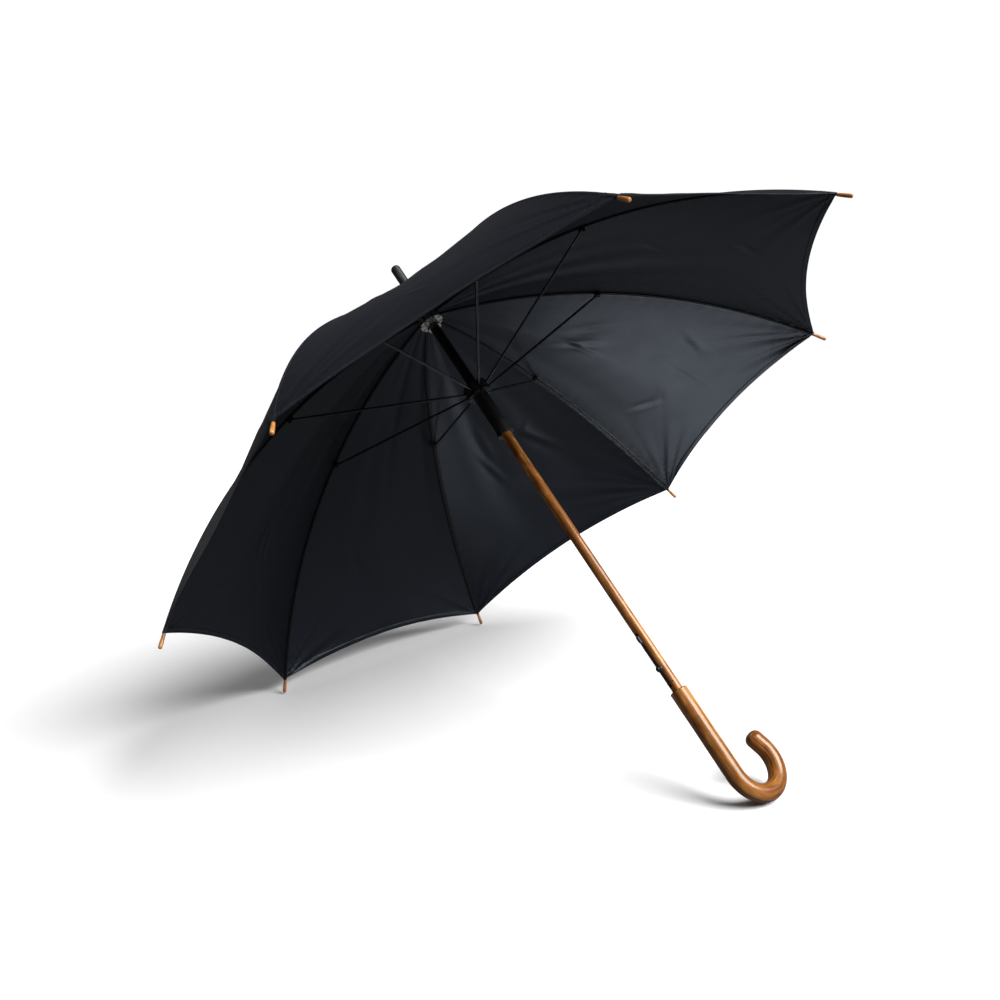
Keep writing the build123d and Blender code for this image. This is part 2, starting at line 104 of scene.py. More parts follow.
def speckle(tree, coordinates, scale, detail=4.0, roughness=0.55, distortion=0.0):
    """A soft irregular pattern, from 0 to 1."""
    return add_node(
        tree, "ShaderNodeTexNoise",
        {
            "Vector": coordinates, "Scale": scale, "Detail": detail, "Roughness": roughness,
            "Distortion": distortion,
        },
    ).outputs["Fac"]


def set_bump(tree, surface, height, strength, distance):
    """Fine relief from a height pattern; distance is its depth in metres."""
    bump = add_node(tree, "ShaderNodeBump", {"Height": height, "Strength": strength, "Distance": distance})
    tree.links.new(bump.outputs[0], surface.inputs["Normal"])


def spread(tree, factor, low, high):
    """A factor from 0 to 1 turned into low to high."""
    return add_node(tree, "ShaderNodeMapRange", {"Value": factor, "To Min": low, "To Max": high}).outputs[0]


def varnished_wood(name, dark, middle, light, straight=None, pores=1.0):
    """Stained wood under varnish. Its grain runs along Z, or along the stick in a bent piece,
    whose attribute named by straight holds each point's place before bending."""
    material, tree, surface = new_finish(
        name,
        {
            "Specular IOR Level": 0.45, "Specular Tint": (1.0, 0.80, 0.52, 1),
            "Coat Weight": 0.32, "Coat Roughness": 0.12, "Coat IOR": 1.5,
        },
    )
    if straight:
        place = add_node(tree, "ShaderNodeAttribute", attribute_name=straight).outputs["Vector"]
    else:
        place = add_node(tree, "ShaderNodeTexCoord").outputs["Object"]
    mottle = speckle(tree, scaled(tree, place, (1, 1, 0.35)), 62.0, 3.0, 0.6, 0.6)
    grain = speckle(tree, scaled(tree, place, (1, 1, 0.045)), 420.0, 6.0, 0.62, 0.4)
    streak = speckle(tree, scaled(tree, place, (1, 1, 0.02)), 170.0, 2.0, 0.5, 0.8)
    mixed = maths(tree, "MULTIPLY_ADD", mottle, 0.75, maths(tree, "MULTIPLY_ADD", grain, 0.5, -0.17))
    mixed = maths(tree, "MULTIPLY_ADD", streak, 0.45, maths(tree, "SUBTRACT", mixed, 0.2))
    stain = colour_steps(tree, mixed, [(0.30, dark), (0.52, middle), (0.72, light)])
    tree.links.new(stain, surface.inputs["Base Color"])
    tree.links.new(spread(tree, grain, 0.42, 0.24), surface.inputs["Roughness"])
    set_bump(tree, surface, grain, 0.25 * pores, 0.0002)
    return material


def paint(node, material):
    """Gives a CAD node this material in every slot that it has."""
    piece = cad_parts[node]
    if not piece.material_slots:
        piece.data.materials.append(material)
    for slot in piece.material_slots:
        slot.material = material


WOOD_DARK = (0.085, 0.020, 0.004)
WOOD_MIDDLE = (0.28, 0.100, 0.020)
WOOD_LIGHT = (0.58, 0.29, 0.080)
SHADE_BLACK_START = 0.600        # height of the painted shade's lower edge
SHADE_EDGE_WANDER = 0.0012      # how far that painted edge strays
PAINTED_SHADE_BLACK = (0.010, 0.010, 0.011, 1)
shaft_wood = varnished_wood("shaft varnish", WOOD_DARK, WOOD_MIDDLE, WOOD_LIGHT)
tree = shaft_wood.node_tree
surface = tree.nodes["Principled BSDF"]
# Above a wavering height the stain gives way to black: painted shade where the canopy hides the shaft.
place = add_node(tree, "ShaderNodeTexCoord").outputs["Object"]
height = add_node(tree, "ShaderNodeSeparateXYZ", {0: place}).outputs["Z"]
shade_edge_wobble = speckle(tree, place, 300.0)
edge = maths(tree, "MULTIPLY_ADD", shade_edge_wobble, SHADE_EDGE_WANDER, SHADE_BLACK_START - SHADE_EDGE_WANDER / 2)
in_painted_shade = maths(tree, "GREATER_THAN", height, edge)
stain = surface.inputs["Base Color"].links[0].from_socket
painted_shade_mix = add_node(
    tree, "ShaderNodeMix", {0: in_painted_shade, 6: stain, 7: PAINTED_SHADE_BLACK}, data_type="RGBA",
)
tree.links.new(painted_shade_mix.outputs[2], surface.inputs["Base Color"])
paint("shaft", shaft_wood)


# ---------------------------------------------------------------- crook handle
# One stick of the same wood, steamed and bent into a crook, with a domed end. It is thicker
# than the shaft, which is glued into a bore in its upper end.

HANDLE_RADIUS = 0.0115
HANDLE_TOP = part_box("crook_handle")[1][2]
BORE_DEPTH = 0.070
BORE_RADIUS = 0.00702
CROOK_RADIUS = 0.036
CROOK_TURN = radians(202.5)
CROOK_TAIL = 0.021           # straight length beyond the bend
CROOK_CENTRE = HANDLE_RADIUS + CROOK_RADIUS
HANDLE_RIM = 0.0016          # radius of the rounded upper edge
HANDLE_DOME = 0.0085         # height of the domed end
WHITTLE = 0.00022            # how far the hand-finished stick is from a true round


def crook_point(length):
    """The point and direction on the handle's centre line, this far below its top."""
    straight = HANDLE_TOP - CROOK_CENTRE
    if length <= straight:
        return Vector((0, 0, HANDLE_TOP - length)), Vector((0, 0, -1))
    turn = min((length - straight) / CROOK_RADIUS, CROOK_TURN)
    point = Vector((CROOK_RADIUS * (1 - cos(turn)), 0, CROOK_CENTRE - CROOK_RADIUS * sin(turn)))
    direction = Vector((sin(turn), 0, -cos(turn)))
    beyond = length - straight - CROOK_RADIUS * turn
    return point + direction * beyond, direction


def crook_profile():
    """(length, radius) pairs from the bore's floor, up the bore, over the rim and down to the end."""
    total = HANDLE_TOP - CROOK_CENTRE + CROOK_RADIUS * CROOK_TURN + CROOK_TAIL
    profile = [(BORE_DEPTH, BORE_RADIUS), (0.0010, BORE_RADIUS), (0.0, BORE_RADIUS + 0.0008)]
    for step in range(6):
        turn = step / 5 * pi / 2
        profile.append((HANDLE_RIM * (1 - cos(turn)), HANDLE_RADIUS - HANDLE_RIM + HANDLE_RIM * sin(turn)))
    for length in np.linspace(0.004, total - HANDLE_DOME, 150):
        wobble = WHITTLE * noise.noise(Vector((length * 31, 4.0, 0)))
        profile.append((length, HANDLE_RADIUS - 0.00024 + wobble))
    end_radius = profile[-1][1]
    for step in range(1, 10):
        turn = step / 10 * pi / 2
        along = total - HANDLE_DOME + HANDLE_DOME * sin(turn)
        profile.append((along, end_radius - HANDLE_DOME + HANDLE_DOME * cos(turn)))
    return profile, total


def new_piece(name, corners, faces, material):
    """A smooth-shaded mesh piece in the scene."""
    mesh = bpy.data.meshes.new(name)
    mesh.from_pydata([tuple(c) for c in corners], [], faces)
    mesh.materials.append(material)
    mesh.polygons.foreach_set("use_smooth", [True] * len(mesh.polygons))
    mesh.update()
    piece = bpy.data.objects.new(name, mesh)
    bpy.context.scene.collection.objects.link(piece)
    return piece


AROUND = 48
profile, handle_length = crook_profile()
corners = []
unbent = []
for length, radius in profile:
    point, direction = crook_point(length)
    side = Vector((0, 1, 0))
    other = direction.cross(side)
    for step in range(AROUND):
        turn = 2 * pi * step / AROUND
        offset = side * cos(turn) + other * sin(turn)
        corners.append(point + offset * radius)
        unbent.append((radius * cos(turn), radius * sin(turn), -length))
faces = []
for ring in range(len(profile) - 1):
    for step in range(AROUND):
        a = ring * AROUND + step
        b = ring * AROUND + (step + 1) % AROUND
        faces.append((a, b, b + AROUND, a + AROUND))
last = (len(profile) - 1) * AROUND
for first, length, flip in ((0, BORE_DEPTH, True), (last, handle_length, False)):
    corners.append(crook_point(length)[0])
    unbent.append((0, 0, -length))
    for step in range(AROUND):
        a, b = first + step, first + (step + 1) % AROUND
        faces.append((b, a, len(corners) - 1) if flip else (a, b, len(corners) - 1))
handle_wood = varnished_wood(
    "handle varnish", WOOD_DARK, WOOD_MIDDLE, WOOD_LIGHT, straight="unbent", pores=1.3,
)
handle = new_piece("bent_crook_handle", corners, faces, handle_wood)
attribute = handle.data.attributes.new("unbent", "FLOAT_VECTOR", "POINT")
attribute.data.foreach_set("vector", np.array(unbent, dtype=np.float32).ravel())
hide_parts("crook_handle")
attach(handle, "root")


# ---------------------------------------------------------------- ferrule, crown cap and runner
# Moulded black nylon: the ferrule is pressed on to the shaft's spigot over the cap that clamps
# the cloth, and the runner slides on the shaft. Handling polishes it in patches.

def moulded_plastic(name, colour, shine, grain=2600.0):
    """Moulded plastic with a fine mould texture; shine is its roughness where it is rubbed."""
    material, tree, surface = new_finish(name, {"Specular IOR Level": 0.5, "IOR": 1.5})
    place = add_node(tree, "ShaderNodeTexCoord").outputs["Object"]
    fine = speckle(tree, place, grain, 2.0)
    rubbed = speckle(tree, place, 55.0, 5.0, 0.6)
    lighter = tuple(2.1 * c + 0.006 for c in colour)
    shade = colour_steps(tree, rubbed, [(0.35, colour), (0.75, lighter)])
    tree.links.new(shade, surface.inputs["Base Color"])
    tree.links.new(spread(tree, rubbed, shine - 0.1, shine + 0.14), surface.inputs["Roughness"])
    set_bump(tree, surface, fine, 0.18, 0.00008)
    return material


black_nylon = moulded_plastic("black nylon", (0.010, 0.010, 0.011), 0.36)
for name in ("ferrule", "crown_cap", "runner", "spring_slider"):
    paint(name, black_nylon)


# ---------------------------------------------------------------- top notch, wires, springs and pins
# The notch is a slotted zinc casting with bright nickel plate. A steel wire runs through it and
# the rib eyes, and a second one through the runner's crown. Springs are bare steel, and the
# catch in the shaft is blued.

def plated_metal(name, colour, low, high, scratch=90.0):
    """Metal whose roughness goes from low to high in smudges, with fine scuffs along it."""
    material, tree, surface = new_finish(name, {"Metallic": 1.0, "IOR": 2.2})
    place = add_node(tree, "ShaderNodeTexCoord").outputs["Object"]
    smudge = speckle(tree, place, scratch, 5.0, 0.65, 0.5)
    scuff = speckle(tree, scaled(tree, place, (1, 1, 7)), 900.0, 3.0, 0.7)
    duller = tuple(0.62 * c for c in colour)
    tint = colour_steps(tree, smudge, [(0.3, duller), (0.6, colour)])
    tree.links.new(tint, surface.inputs["Base Color"])
    tree.links.new(spread(tree, smudge, high, low), surface.inputs["Roughness"])
    set_bump(tree, surface, scuff, 0.12, 0.00005)
    return material


bright_plate = plated_metal("nickel plate", (0.82, 0.81, 0.78), 0.10, 0.30)
for name in ("top_notch", "notch_wire", "runner_wire", "stop_peg"):
    paint(name, bright_plate)
bare_steel = plated_metal("bare spring steel", (0.46, 0.45, 0.44), 0.26, 0.48, 260.0)
for name in ("opening_spring", "catch_spring", "spring_anchor", "runner_pin"):
    paint(name, bare_steel)
blued_steel = plated_metal("blued spring steel", (0.050, 0.052, 0.062), 0.30, 0.46, 260.0)
for name in ("runner_catch", "catch_pin"):
    paint(name, blued_steel)


# ---------------------------------------------------------------- push button and housing
# A domed black button in a moulded ring, let into the shaft on the side away from the crook.
# Pressing it frees the catch inside the shaft. Both are moulded plastic.

paint("push_button", moulded_plastic("button plastic", (0.006, 0.007, 0.012), 0.26, 4200.0))
paint("button_housing", black_nylon)


# ---------------------------------------------------------------- ribs and joiners
# Rolled steel channel in black enamel, with brackets folded over it for the stretchers' rivets.
# The enamel is thin, and steel shows through in small rubbed spots.

RIBS = 8


def enamelled_steel(name):
    """Black enamel on steel, with the metal's grey in the rubbed spots."""
    material, tree, surface = new_finish(name, {"Specular IOR Level": 0.5})
    place = add_node(tree, "ShaderNodeTexCoord").outputs["Object"]
    peel = speckle(tree, place, 1400.0, 2.0)
    wear = speckle(tree, place, 190.0, 6.0, 0.7, 0.3)
    worn = colour_steps(tree, wear, [(0.66, (0.009, 0.009, 0.010)), (0.78, (0.10, 0.10, 0.105))])
    tree.links.new(worn, surface.inputs["Base Color"])
    tree.links.new(spread(tree, wear, 0.30, 0.5), surface.inputs["Roughness"])
    set_bump(tree, surface, peel, 0.15, 0.00006)
    return material


black_enamel = enamelled_steel("black enamel")
for number in range(1, RIBS + 1):
    paint(f"rib_{number}", black_enamel)
    paint(f"rib_joiner_{number}", black_enamel)


# ---------------------------------------------------------------- stretchers
# Straight drawn-steel channels with flattened, pierced ends. They push the ribs out from the
# runner, and are oil-blackened to a dark grey.

drawn_steel = plated_metal("drawn grey steel", (0.17, 0.175, 0.185), 0.24, 0.42, 140.0)
for number in range(1, RIBS + 1):
    paint(f"stretcher_{number}", drawn_steel)


# ---------------------------------------------------------------- rib tips
# Turned beads of varnished wood, pushed on to the rib ends and sewn to the canopy's corners.
# They are paler than the handle, because they are stained less.

tip_wood = varnished_wood(
    "tip varnish", (0.24, 0.070, 0.016), (0.50, 0.20, 0.055), (0.72, 0.38, 0.13), pores=0.6,
)
for number in range(1, RIBS + 1):
    paint(f"rib_tip_{number}", tip_wood)


# ---------------------------------------------------------------- canopy cloth
# Eight gores of thin black polyester, seamed over the ribs and hemmed. The cloth is stretched
# tight, dips a little between the ribs, and puckers where the corners are sewn to the tips.
# It is made as eight rib-centred petals that meet in the middle of each gore.

STEP = 2 * pi / RIBS
HINGE_RADIUS = 0.0154
HINGE_HEIGHT = 0.7807
RIM_RADIUS = 0.515
RIM_HEIGHT = 0.500
RIB_BEND = 0.724
TIP_LENGTH = 0.0185
CLOTH_LIFT = 0.0022          # from the rib's centre line to the cloth
CLOTH_THICKNESS = 0.0003
CROWN_HOLE = 0.0085
HEM_RISE = 0.0225            # the hem curves up this much between two tips
HEM_WIDTH = 0.0068
HEM_FOLD = 0.0006            # extra thickness of the turned hem
SEAM_WIDTH = 0.0034          # half the width of the seam over a rib
SEAM_FOLD = 0.0005
SEAM_STITCH = 0.0022         # from the rib to each row of stitches
HEM_GROOVE = 0.0052          # from the hem's edge to the groove that its stitches pull
GROOVE_DEPTH = 0.00007
THREAD_PITCH = 0.00052       # from one thread of the weave to the one after next
DIP = 0.0078                 # how far a gore's middle dips below the straight line between ribs

chord_r = RIM_RADIUS - HINGE_RADIUS
chord_z = RIM_HEIGHT - HINGE_HEIGHT
chord_length = hypot(chord_r, chord_z)
arm = (RIB_BEND**2 - (chord_length / 2) ** 2) ** 0.5
bend_r = (HINGE_RADIUS + RIM_RADIUS) / 2 + chord_z / chord_length * arm
bend_z = (HINGE_HEIGHT + RIM_HEIGHT) / 2 - chord_r / chord_length * arm
tip_angle = asin((RIM_RADIUS - bend_r) / RIB_BEND)
cloth_start = asin((CROWN_HOLE - bend_r) / RIB_BEND)
cloth_end = tip_angle - (TIP_LENGTH + 0.0004) / RIB_BEND
cloth_length = (cloth_end - cloth_start) * RIB_BEND

near_hem = [0, 0.0014, 0.003, 0.0046, 0.0058, 0.0064, 0.0071, 0.0078, 0.0095, 0.0125]
hem_rows = np.array(near_hem + list(np.linspace(0.0165, cloth_length, 104)))
half_columns = np.array([0, 0.0035, 0.0068, 0.0088, 0.0108, 0.0145] + list(np.linspace(0.022, 0.5, 34)))
across_columns = np.concatenate([half_columns, 1 - half_columns[-2::-1]])
MIDDLE = len(half_columns) - 1

# how strongly each gore is folded and creased, starting with the one after the first rib
SOFT_FOLDS = (1.0, 2.1, 0.7, 1.0, 0.8, 1.0, 0.9, 0.7)
CREASES = (4, 3, 2, 4, 3, 4, 3, 7)
FOLD_HEIGHT = 0.0021
# ripples that fan out from a tip: how many go round, how high they are and how far they reach
RIPPLES = ((12, 0.0020, 0.060), (23, 0.0013, 0.070), (36, 0.0007, 0.050))
PUCKER_PITCH = (0.020, 0.027)               # puckers along a seam
PUCKER_HEIGHT = 0.00035
CREASE_FROM_HEM = (0.07, 0.30)
CREASE_FROM_MIDDLE = (-0.09, 0.09)
CREASE_LEAN = (-0.9, 0.9)
CREASE_BREADTH = (0.0035, 0.0075)
CREASE_REACH = (0.014, 0.042)
CREASE_HEIGHT = (0.0008, 0.0016)
HEM_PUCKER_PITCH = 0.0065
HEM_PUCKER_HEIGHT = 0.00018
SEAM_RIDGE = 0.00035         # height of the seam on the outside


def fade(value, low, high):
    """1 below low, 0 above high, and smooth between."""
    share = np.clip((value - low) / (high - low), 0, 1)
    return 1 - share * share * (3 - 2 * share)


def surface_normals(grid):
    """Outward unit normals of a grid of points, row by row from the hem to the crown."""
    down = np.gradient(grid, axis=0)
    over = np.gradient(grid, axis=1)
    normal = np.cross(over, down)
    normal /= np.linalg.norm(normal, axis=2, keepdims=True) + 1e-12
    return normal


def smooth_noise(grid, scale, seed):
    """A smooth random value at each point of a grid, from about -1 to 1."""
    flat = grid.reshape(-1, 3) * scale
    values = [noise.noise(Vector(p) + Vector((seed, 2.3 * seed, 0))) for p in flat]
    return np.array(values).reshape(grid.shape[:2])


def make_gore(number):
    """The cloth between two ribs: points on its outer and inner sides, their normals,
    and each point's distance from the hem and from the nearest rib."""
    random = np.random.default_rng(7100 + number)
    from_hem, across = np.meshgrid(hem_rows, across_columns, indexing="ij")
    bow = 4 * across * (1 - across)
    end = cloth_end - HEM_RISE * bow / RIB_BEND
    share = from_hem / cloth_length
    angle = end - share * (end - cloth_start)
    radius = bend_r + (RIB_BEND + CLOTH_LIFT) * np.sin(angle)
    height = bend_z + (RIB_BEND + CLOTH_LIFT) * np.cos(angle)
    first = STEP / 2 + STEP * number
    ends = [np.stack([radius * cos(a), radius * sin(a), height], axis=2) for a in (first, first + STEP)]
    base = ends[0] * (1 - across[..., None]) + ends[1] * across[..., None]
    normal = surface_normals(base)

    width = 2 * radius * sin(STEP / 2)
    down = 1 - share
    hold = np.sin(pi * across)
    lift = -DIP * bow * np.sin(pi * np.clip(down, 0, 1) ** 1.15) ** 0.85
    lift -= 0.0022 * bow * down**6
    lift += 0.0020 * hold * smooth_noise(base, 7.5, number + 1.0) * (0.3 + down)
    lift += 0.00045 * hold * smooth_noise(base, 26.0, number + 31.0)

    for folds in (2, 3, 5):
        phase = random.uniform(0, 2 * pi)
        drift = random.uniform(-1.2, 1.2)
        size = random.uniform(0.4, 1.0) * FOLD_HEIGHT / folds * SOFT_FOLDS[number]
        wave = np.cos(2 * pi * folds * across + phase + drift * down)
        lift += size * wave * hold * np.sin(pi * np.clip(down, 0, 1) ** 0.8) * 1.3

    for side in (across, 1 - across):
        lateral = side * width
        distance = np.hypot(lateral, from_hem)
        bearing = np.arctan2(lateral, from_hem + 1e-6)
        spread_out = np.sin(bearing) ** 0.8
        for count, size, reach in RIPPLES:
            phase, patch = random.uniform(0, 2 * pi, 2)
            bend = random.uniform(-5, 5) * distance
            ripple = np.cos(count * bearing + phase + bend) * (0.65 + 0.35 * np.cos(5 * bearing + patch))
            lift += size * ripple * spread_out * np.exp(-distance / reach) * (1 - np.exp(-distance / 0.012))
        pucker = np.cos(2 * pi * from_hem / random.uniform(*PUCKER_PITCH) + random.uniform(0, 6))
        near_seam = np.exp(-lateral / 0.012) * fade(distance, 0.25, 0.5) * fade(-lateral, -0.004, -0.002)
        lift += PUCKER_HEIGHT * pucker * near_seam

    middle_offset = (across - 0.5) * width
    for _ in range(CREASES[number]):
        spot_down = random.uniform(*CREASE_FROM_HEM)
        spot_over = random.uniform(*CREASE_FROM_MIDDLE)
        lean = random.uniform(*CREASE_LEAN)
        x = middle_offset - spot_over
        y = from_hem - spot_down
        over = x * cos(lean) + y * sin(lean)
        along = -x * sin(lean) + y * cos(lean)
        breadth = random.uniform(*CREASE_BREADTH)
        reach = random.uniform(*CREASE_REACH)
        size = random.uniform(*CREASE_HEIGHT)
        crease = np.exp(-((over / breadth) ** 2)) - 0.55 * np.exp(-((over / breadth - 1.4) ** 2))
        lift += size * crease * np.exp(-((along / reach) ** 2)) * hold

    hem_stitch = np.cos(2 * pi * across * width / HEM_PUCKER_PITCH + number)
    lift += HEM_PUCKER_HEIGHT * hem_stitch * np.exp(-(((from_hem - 0.006) / 0.004) ** 2)) * hold
    sheet = base + normal * lift[..., None]

    to_rib = np.minimum(across, 1 - across) * width
    hem = fade(from_hem, HEM_WIDTH - 0.0006, HEM_WIDTH + 0.0006)
    seam = fade(to_rib, SEAM_WIDTH - 0.0004, SEAM_WIDTH + 0.0005)
    groove = np.exp(-(((to_rib - SEAM_STITCH) / 0.0005) ** 2))
    groove = groove + np.exp(-(((from_hem - HEM_GROOVE) / 0.0007) ** 2))
    normal = surface_normals(sheet)
    outside = CLOTH_THICKNESS / 2 + SEAM_RIDGE * seam - GROOVE_DEPTH * groove
    inside = CLOTH_THICKNESS / 2 + HEM_FOLD * hem + SEAM_FOLD * seam - GROOVE_DEPTH * groove
    outer = sheet + normal * outside[..., None]
    inner = sheet - normal * inside[..., None]
    return {
        "outer": outer, "inner": inner,
        "outer_normal": surface_normals(outer), "inner_normal": -surface_normals(inner),
        "sheet": sheet, "from_hem": from_hem, "lateral": across * width, "width": width,
    }


gores = [make_gore(number) for number in range(RIBS)]


def petal_grid(number, key):
    """A gore's second half and the next gore's first half, joined at the rib."""
    before, after = gores[number - 1][key], gores[number][key]
    joined = np.concatenate([before[:, MIDDLE:], after[:, 1:MIDDLE + 1]], axis=1)
    if key.endswith("normal"):
        rib_column = joined.shape[1] - 1 - MIDDLE
        both = before[:, -1] + after[:, 0]
        joined[:, rib_column] = both / np.linalg.norm(both, axis=1, keepdims=True)
    return joined


def petal_lateral(number):
    """Each point's distance across from the petal's rib, below 0 before it."""
    before, after = gores[number - 1], gores[number]
    left = before["lateral"][:, MIDDLE:] - before["width"][:, MIDDLE:]
    return np.concatenate([left, after["lateral"][:, 1:MIDDLE + 1]], axis=1)


def black_polyester(name):
    """Plain-woven polyester, black with a navy cast. The UV map is in metres, across and along."""
    material, tree, surface = new_finish(
        name,
        {
            "Specular IOR Level": 0.42, "IOR": 1.46, "Sheen Weight": 0.01, "Sheen Roughness": 0.4,
            "Sheen Tint": (0.55, 0.66, 0.95, 1), "Specular Tint": (0.74, 0.85, 1.0, 1),
        },
    )
    cloth = add_node(tree, "ShaderNodeUVMap", uv_map="cloth").outputs[0]
    place = add_node(tree, "ShaderNodeTexCoord").outputs["Object"]
    split = add_node(tree, "ShaderNodeSeparateXYZ", {0: cloth})
    threads = []
    for axis in (0, 1):
        turned = maths(tree, "MULTIPLY", split.outputs[axis], 2 * pi / THREAD_PITCH)
        threads.append(maths(tree, "SINE", turned))
    weave = maths(tree, "MULTIPLY", threads[0], threads[1])
    slub = speckle(tree, scaled(tree, cloth, (1, 0.06, 1)), 900.0, 3.0, 0.6)
    slub_over = speckle(tree, scaled(tree, cloth, (0.06, 1, 1)), 900.0, 3.0, 0.6)
    uneven = maths(tree, "ADD", slub, slub_over)
    cloud = speckle(tree, place, 5.0, 4.0, 0.55)
    tone = maths(tree, "MULTIPLY_ADD", uneven, 0.22, maths(tree, "MULTIPLY_ADD", cloud, 0.6, -0.02))
    dye = colour_steps(
        tree, tone,
        [
            (0.32, (0.0016, 0.0019, 0.0036)),
            (0.52, (0.0024, 0.0029, 0.0056)),
            (0.72, (0.0038, 0.0046, 0.0088)),
        ],
    )
    tree.links.new(dye, surface.inputs["Base Color"])
    tree.links.new(spread(tree, tone, 0.36, 0.48), surface.inputs["Roughness"])
    height = maths(tree, "MULTIPLY_ADD", weave, 0.5, maths(tree, "MULTIPLY", uneven, 0.5))
    set_bump(tree, surface, height, 0.22, 0.00012)
    return material


polyester = black_polyester("black polyester")


def shell(name, outer, inner, outer_normal, inner_normal, cloth_map, material):
    """A thin closed sheet between an outer and an inner grid of points."""
    rows, columns = outer.shape[:2]
    count = rows * columns
    corners = np.concatenate([outer.reshape(-1, 3), inner.reshape(-1, 3)])
    faces = []
    for row in range(rows - 1):
        for column in range(columns - 1):
            a = row * columns + column
            b = a + 1
            c, d = b + columns, a + columns
            faces.append((a, b, c, d))
            faces.append((count + a, count + d, count + c, count + b))
    border = list(range(columns))
    border += [row * columns + columns - 1 for row in range(1, rows)]
    border += [(rows - 1) * columns + column for column in range(columns - 2, -1, -1)]
    border += [row * columns for row in range(rows - 2, 0, -1)]
    for a, b in zip(border, border[1:] + border[:1]):
        faces.append((b, a, count + a, count + b))
    piece = new_piece(name, corners, faces, material)
    mesh = piece.data
    layer = mesh.uv_layers.new(name="cloth")
    loop_corners = np.empty(len(mesh.loops), dtype=np.int32)
    mesh.loops.foreach_get("vertex_index", loop_corners)
    both = np.concatenate([cloth_map.reshape(-1, 2)] * 2)
    layer.data.foreach_set("uv", both[loop_corners].ravel().astype(np.float32))
    normals = np.concatenate([outer_normal.reshape(-1, 3), inner_normal.reshape(-1, 3)])
    mesh.normals_split_custom_set_from_vertices([tuple(n) for n in normals])
    return piece


def sheet_area(grid):
    """The area of a grid of points."""
    one = np.cross(grid[1:, :-1] - grid[:-1, :-1], grid[:-1, 1:] - grid[:-1, :-1])
    two = np.cross(grid[:-1, 1:] - grid[1:, 1:], grid[1:, :-1] - grid[1:, 1:])
    return 0.5 * float(np.linalg.norm(one, axis=2).sum() + np.linalg.norm(two, axis=2).sum())


def gather(piece, number):
    """The piece rides on its rib, with a mesh of its own."""
    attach(piece, f"rib_{number + 1}")
    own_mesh(piece)


petals = []
for number in range(RIBS):
    grids = [petal_grid(number, key) for key in ("outer", "inner", "outer_normal", "inner_normal")]
    cloth_map = np.stack([petal_lateral(number), petal_grid(number, "from_hem")], axis=2)
    petal = shell(f"canopy_petal_{number + 1}", *grids, cloth_map, polyester)
    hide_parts(f"canopy_{number + 1}")
    petals.append((petal, sheet_area(petal_grid(number, "sheet"))))


# ---------------------------------------------------------------- stitching
# Black lockstitch holds the turned hem and both edges of each seam. Each stitch is a short
# raised bead of thread, three millimetres from the next.

STITCH_PITCH = 0.0030
STITCH_LENGTH = 0.0022
THREAD_RADIUS = 0.00019


def thread_finish(name):
    """Black sewing thread with a twist that shows close up."""
    material, tree, surface = new_finish(name, {"Sheen Weight": 0.25, "Specular IOR Level": 0.4})
    place = add_node(tree, "ShaderNodeTexCoord").outputs["Object"]
    twist = speckle(tree, place, 3200.0, 2.0)
    shade = colour_steps(tree, twist, [(0.3, (0.010, 0.011, 0.016)), (0.7, (0.028, 0.031, 0.044))])
    tree.links.new(shade, surface.inputs["Base Color"])
    tree.links.new(spread(tree, twist, 0.5, 0.7), surface.inputs["Roughness"])
    set_bump(tree, surface, twist, 0.3, 0.0001)
    return material


def stitch_tree(material):
    """Geometry Nodes that lay stitches along every curve of an object."""
    tree = bpy.data.node_groups.new("stitch rows", "GeometryNodeTree")
    sockets = {}
    tree.interface.new_socket("Geometry", in_out="INPUT", socket_type="NodeSocketGeometry")
    for label in ("Pitch", "Stitch Length", "Thread Radius"):
        item = tree.interface.new_socket(label, in_out="INPUT", socket_type="NodeSocketFloat")
        sockets[label] = item.identifier
    tree.interface.new_socket("Geometry", in_out="OUTPUT", socket_type="NodeSocketGeometry")
    source = tree.nodes.new("NodeGroupInput")
    result = tree.nodes.new("NodeGroupOutput")
    points = tree.nodes.new("GeometryNodeCurveToPoints")
    points.mode = "LENGTH"
    bead = tree.nodes.new("GeometryNodeMeshUVSphere")
    bead.inputs["Segments"].default_value = 6
    bead.inputs["Rings"].default_value = 4
    bead.inputs["Radius"].default_value = 0.5
    size = tree.nodes.new("ShaderNodeCombineXYZ")
    double = tree.nodes.new("ShaderNodeMath")
    double.operation = "MULTIPLY"
    double.inputs[1].default_value = 2.0
    place = tree.nodes.new("GeometryNodeInstanceOnPoints")
    solid = tree.nodes.new("GeometryNodeRealizeInstances")
    dress = tree.nodes.new("GeometryNodeSetMaterial")
    dress.inputs["Material"].default_value = material
    link = tree.links.new
    link(source.outputs["Geometry"], points.inputs["Curve"])
    link(source.outputs["Pitch"], points.inputs["Length"])
    link(source.outputs["Thread Radius"], double.inputs[0])
    link(double.outputs[0], size.inputs[0])
    link(double.outputs[0], size.inputs[1])
    link(source.outputs["Stitch Length"], size.inputs[2])
    link(points.outputs["Points"], place.inputs["Points"])
    link(points.outputs["Rotation"], place.inputs["Rotation"])
    link(bead.outputs["Mesh"], place.inputs["Instance"])
    link(size.outputs[0], place.inputs["Scale"])
    link(place.outputs["Instances"], solid.inputs["Geometry"])
    link(solid.outputs["Geometry"], dress.inputs["Geometry"])
    link(dress.outputs["Geometry"], result.inputs["Geometry"])
    return tree, sockets


stitches, stitch_sockets = stitch_tree(thread_finish("black thread"))


